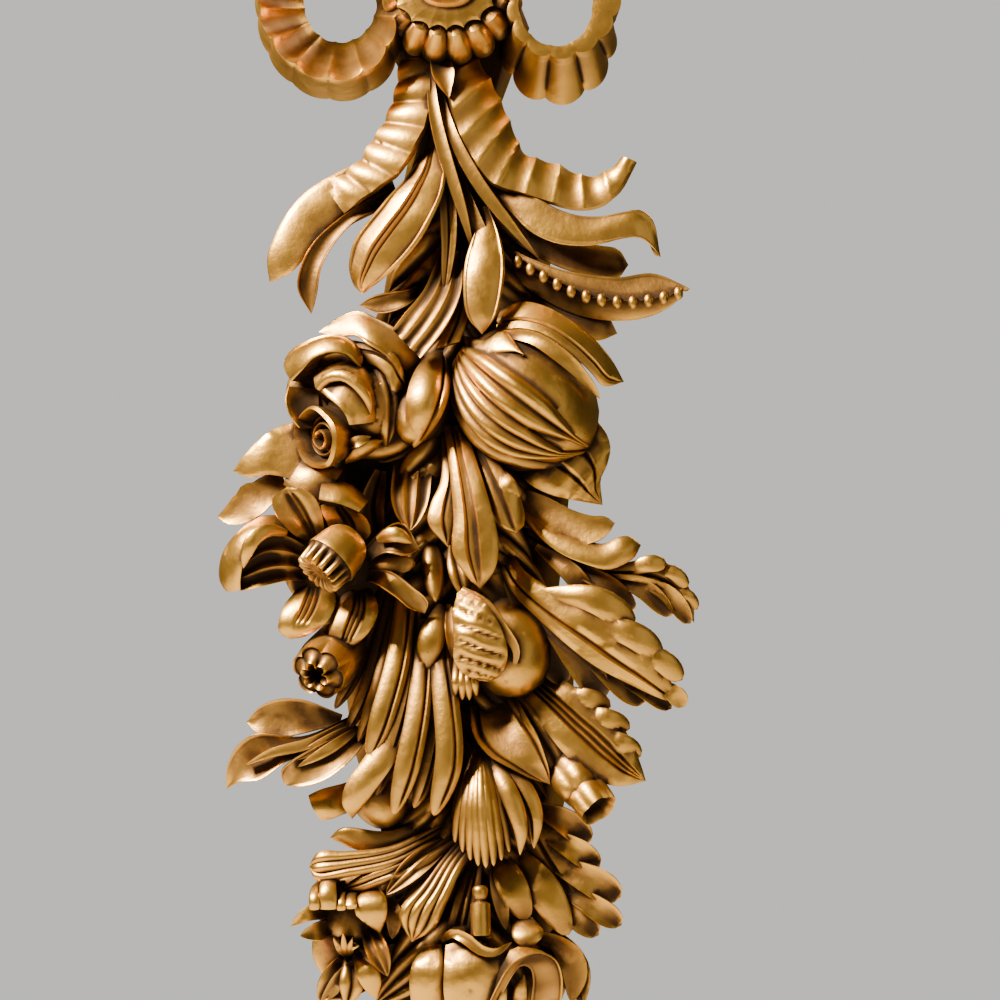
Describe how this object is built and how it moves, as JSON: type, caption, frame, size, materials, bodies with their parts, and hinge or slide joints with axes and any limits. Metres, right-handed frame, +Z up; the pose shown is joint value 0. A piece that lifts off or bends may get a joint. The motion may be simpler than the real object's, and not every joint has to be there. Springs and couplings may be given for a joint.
{
  "type": "floral wall drop",
  "caption": "Carved and gilded wall ornament: a pleated ribbon bow above a hanging trail of leaves, flowers, buds and fruit.",
  "frame": {"origin": "on the flat back that lies against the wall, at the middle of the trail's height", "axes": "+Z up along the drop, +Y into the wall, so the carving stands out towards -Y"},
  "size_m": [0.296, 0.086, 0.78],
  "materials": {
    "gilding": "aged gilding over carved wood"
  },
  "bodies": {
    "root": {"floral_drop": "gilding"}
  },
  "joints": []
}
